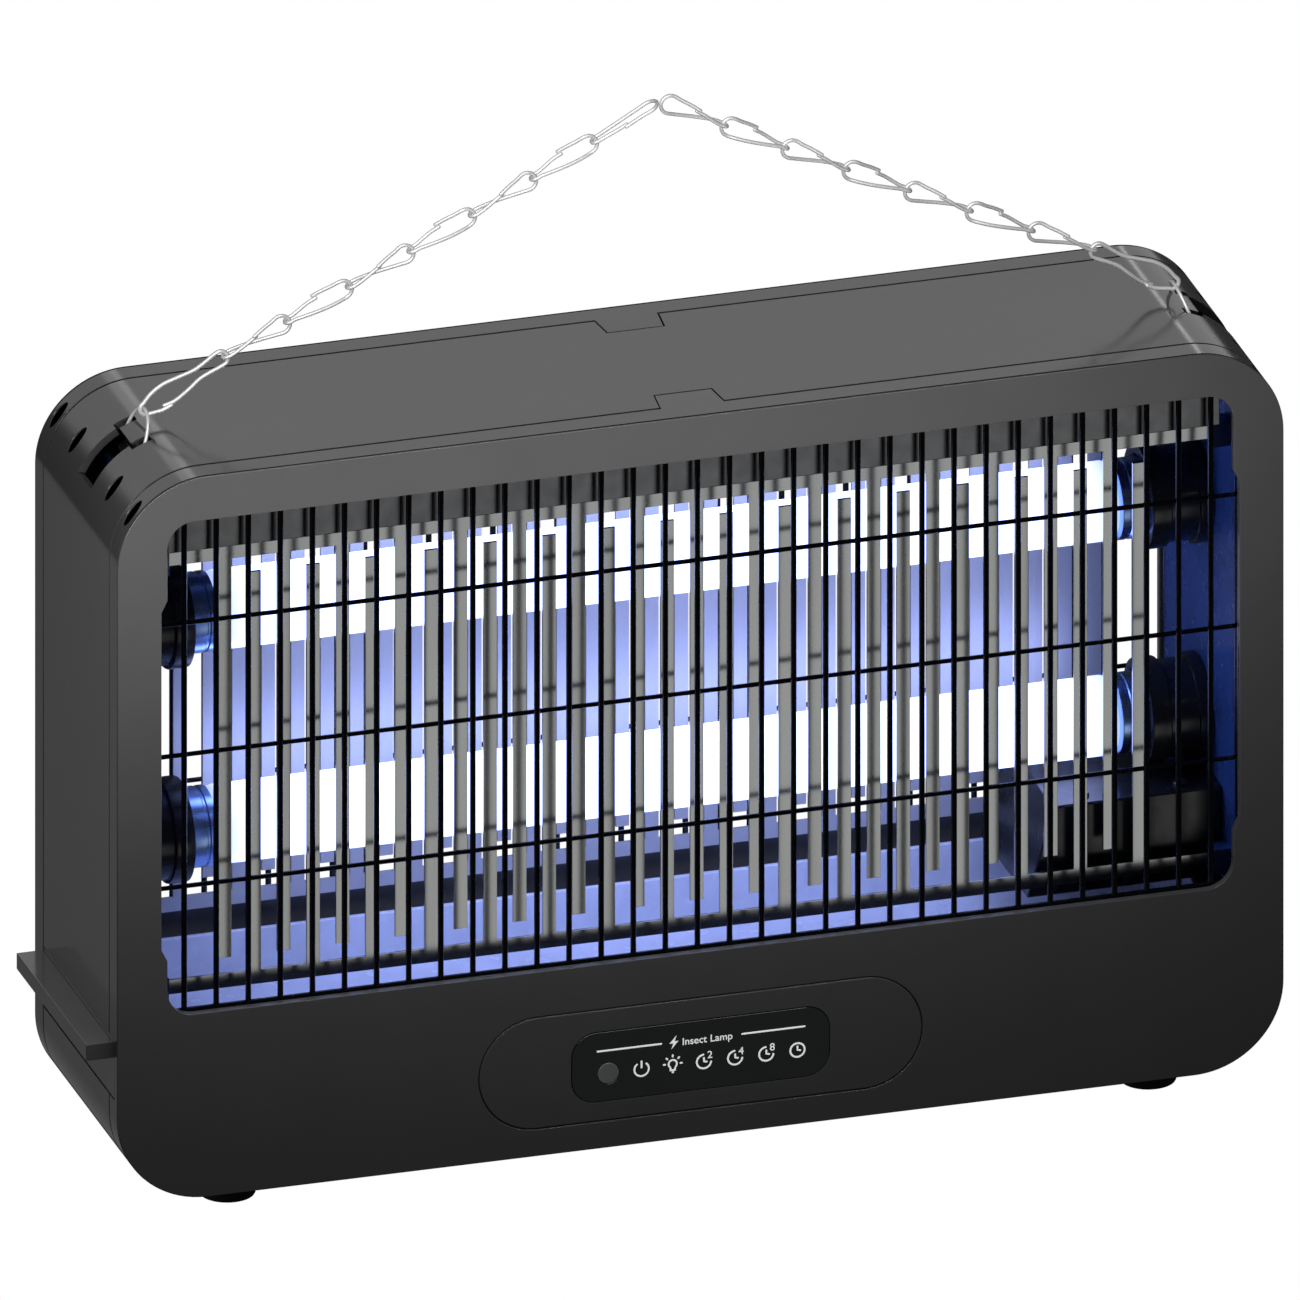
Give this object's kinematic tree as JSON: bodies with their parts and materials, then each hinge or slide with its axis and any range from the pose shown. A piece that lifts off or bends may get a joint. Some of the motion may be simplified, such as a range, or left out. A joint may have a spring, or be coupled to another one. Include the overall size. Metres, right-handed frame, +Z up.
{
  "type": "electric bug zapper",
  "caption": "Hanging or standing electric insect killer: slim rounded case, wire guards front and rear, twin tube lamps between metal combs, slide-out catch tray, link chain.",
  "frame": {"origin": "middle of the bounding box at the level of the soles of the feet; the housing's own middle is 4.7 mm to the right, because the tray's lip stands out on the left", "axes": "+X to the right as seen from the control side, +Y to the back, +Z up"},
  "size_m": [0.3994, 0.0914, 0.3508],
  "materials": {
    "shell": "fine matte texture, charcoal black",
    "guard": "black powder coat, slight gloss",
    "comb": "bare satin sheet metal",
    "inner": "plain dark plastic",
    "glass": "white-blue glowing lamp glass",
    "cap": "satin lamp caps",
    "gloss": "mirror-gloss black",
    "board": "green circuit board",
    "tray": "dark grey moulded plastic",
    "rubber": "black rubber",
    "steel": "bright zinc-plated steel wire"
  },
  "bodies": {
    "housing": {"front_frame": "shell", "centre_band": "shell", "rear_frame": "shell", "control_plate": "shell", "front_guard_bars": "guard", "front_guard_wires": "guard", "front_header": "gloss", "front_comb_upper": "comb", "front_comb_lower": "comb", "rear_guard_bars": "guard", "rear_guard_wires": "guard", "rear_header": "gloss", "rear_comb_upper": "comb", "rear_comb_lower": "comb", "end_plate_left": "inner", "hanger_bracket_left": "inner", "lampholder_upper_left": "inner", "lampholder_lower_left": "inner", "foot_front_left": "rubber", "foot_rear_left": "rubber", "end_plate_right": "inner", "hanger_bracket_right": "inner", "lampholder_upper_right": "inner", "lampholder_lower_right": "inner", "foot_front_right": "rubber", "foot_rear_right": "rubber", "electronics_cover": "inner", "high_voltage_module": "gloss", "driver_board": "board", "control_board": "board", "touch_lens": "gloss", "sensor_window": "inner", "mains_inlet": "inner", "tray_deck": "inner"},
    "tray": {"tray_pan": "tray", "tray_handle": "shell"},
    "lamp_upper": {"lamp_upper_tube": "glass", "lamp_upper_cap_left": "cap", "lamp_upper_cap_right": "cap"},
    "lamp_lower": {"lamp_lower_tube": "glass", "lamp_lower_cap_left": "cap", "lamp_lower_cap_right": "cap"},
    "chain_ring_left_body": {"chain_ring_left": "steel"},
    "chain_hook_left_body": {"chain_hook_left": "steel"},
    "chain_link_1_left_body": {"chain_link_1_left": "steel"},
    "chain_link_2_left_body": {"chain_link_2_left": "steel"},
    "chain_link_3_left_body": {"chain_link_3_left": "steel"},
    "chain_link_4_left_body": {"chain_link_4_left": "steel"},
    "chain_link_5_left_body": {"chain_link_5_left": "steel"},
    "chain_link_6_left_body": {"chain_link_6_left": "steel"},
    "chain_link_7_left_body": {"chain_link_7_left": "steel"},
    "chain_ring_right_body": {"chain_ring_right": "steel"},
    "chain_hook_right_body": {"chain_hook_right": "steel"},
    "chain_link_1_right_body": {"chain_link_1_right": "steel"},
    "chain_link_2_right_body": {"chain_link_2_right": "steel"},
    "chain_link_3_right_body": {"chain_link_3_right": "steel"},
    "chain_link_4_right_body": {"chain_link_4_right": "steel"},
    "chain_link_5_right_body": {"chain_link_5_right": "steel"},
    "chain_link_6_right_body": {"chain_link_6_right": "steel"},
    "chain_link_7_right_body": {"chain_link_7_right": "steel"}
  },
  "joints": [
    {"name": "tray_slide", "type": "slide", "parent": "housing", "child": "tray", "axis": [-1, 0, 0], "range_m": [0, 0.33]},
    {"name": "lamp_upper_turn", "type": "hinge", "parent": "housing", "child": "lamp_upper", "pos_m": [0.0047, 0, 0.19], "axis": [1, 0, 0], "range_deg": [0, 90]},
    {"name": "lamp_lower_turn", "type": "hinge", "parent": "housing", "child": "lamp_lower", "pos_m": [0.0047, 0, 0.115], "axis": [1, 0, 0], "range_deg": [0, 90]},
    {"name": "chain_ring_left_pivot", "type": "hinge", "parent": "housing", "child": "chain_ring_left_body", "pos_m": [-0.17112, 0, 0.2523], "axis": [0, -1, 0], "range_deg": [0, 60]},
    {"name": "chain_hook_left_pivot", "type": "hinge", "parent": "chain_ring_left_body", "child": "chain_hook_left_body", "pos_m": [-0.16731, 0, 0.26299], "axis": [0, -1, 0], "range_deg": [0, 60]},
    {"name": "chain_link_1_left_pivot", "type": "hinge", "parent": "chain_hook_left_body", "child": "chain_link_1_left_body", "pos_m": [-0.14133, 0, 0.27799], "axis": [0, -1, 0], "range_deg": [0, 30]},
    {"name": "chain_link_2_left_pivot", "type": "hinge", "parent": "chain_link_1_left_body", "child": "chain_link_2_left_body", "pos_m": [-0.12054, 0, 0.28742], "axis": [0, -1, 0], "range_deg": [0, 30]},
    {"name": "chain_link_3_left_pivot", "type": "hinge", "parent": "chain_link_2_left_body", "child": "chain_link_3_left_body", "pos_m": [-0.09984, 0, 0.29703], "axis": [0, -1, 0], "range_deg": [0, 30]},
    {"name": "chain_link_4_left_pivot", "type": "hinge", "parent": "chain_link_3_left_body", "child": "chain_link_4_left_body", "pos_m": [-0.07922, 0, 0.30683], "axis": [0, -1, 0], "range_deg": [0, 30]},
    {"name": "chain_link_5_left_pivot", "type": "hinge", "parent": "chain_link_4_left_body", "child": "chain_link_5_left_body", "pos_m": [-0.05868, 0, 0.31679], "axis": [0, -1, 0], "range_deg": [0, 30]},
    {"name": "chain_link_6_left_pivot", "type": "hinge", "parent": "chain_link_5_left_body", "child": "chain_link_6_left_body", "pos_m": [-0.03824, 0, 0.32694], "axis": [0, -1, 0], "range_deg": [0, 30]},
    {"name": "chain_link_7_left_pivot", "type": "hinge", "parent": "chain_link_6_left_body", "child": "chain_link_7_left_body", "pos_m": [-0.01788, 0, 0.33727], "axis": [0, -1, 0], "range_deg": [0, 30]},
    {"name": "chain_ring_right_pivot", "type": "hinge", "parent": "housing", "child": "chain_ring_right_body", "pos_m": [0.18052, 0, 0.2523], "axis": [0, 1, 0], "range_deg": [0, 60]},
    {"name": "chain_hook_right_pivot", "type": "hinge", "parent": "chain_ring_right_body", "child": "chain_hook_right_body", "pos_m": [0.17671, 0, 0.26299], "axis": [0, 1, 0], "range_deg": [0, 60]},
    {"name": "chain_link_1_right_pivot", "type": "hinge", "parent": "chain_hook_right_body", "child": "chain_link_1_right_body", "pos_m": [0.15073, 0, 0.27799], "axis": [0, 1, 0], "range_deg": [0, 30]},
    {"name": "chain_link_2_right_pivot", "type": "hinge", "parent": "chain_link_1_right_body", "child": "chain_link_2_right_body", "pos_m": [0.12994, 0, 0.28742], "axis": [0, 1, 0], "range_deg": [0, 30]},
    {"name": "chain_link_3_right_pivot", "type": "hinge", "parent": "chain_link_2_right_body", "child": "chain_link_3_right_body", "pos_m": [0.10924, 0, 0.29703], "axis": [0, 1, 0], "range_deg": [0, 30]},
    {"name": "chain_link_4_right_pivot", "type": "hinge", "parent": "chain_link_3_right_body", "child": "chain_link_4_right_body", "pos_m": [0.08862, 0, 0.30683], "axis": [0, 1, 0], "range_deg": [0, 30]},
    {"name": "chain_link_5_right_pivot", "type": "hinge", "parent": "chain_link_4_right_body", "child": "chain_link_5_right_body", "pos_m": [0.06808, 0, 0.31679], "axis": [0, 1, 0], "range_deg": [0, 30]},
    {"name": "chain_link_6_right_pivot", "type": "hinge", "parent": "chain_link_5_right_body", "child": "chain_link_6_right_body", "pos_m": [0.04764, 0, 0.32694], "axis": [0, 1, 0], "range_deg": [0, 30]},
    {"name": "chain_link_7_right_pivot", "type": "hinge", "parent": "chain_link_6_right_body", "child": "chain_link_7_right_body", "pos_m": [0.02728, 0, 0.33727], "axis": [0, 1, 0], "range_deg": [0, 30]}
  ]
}
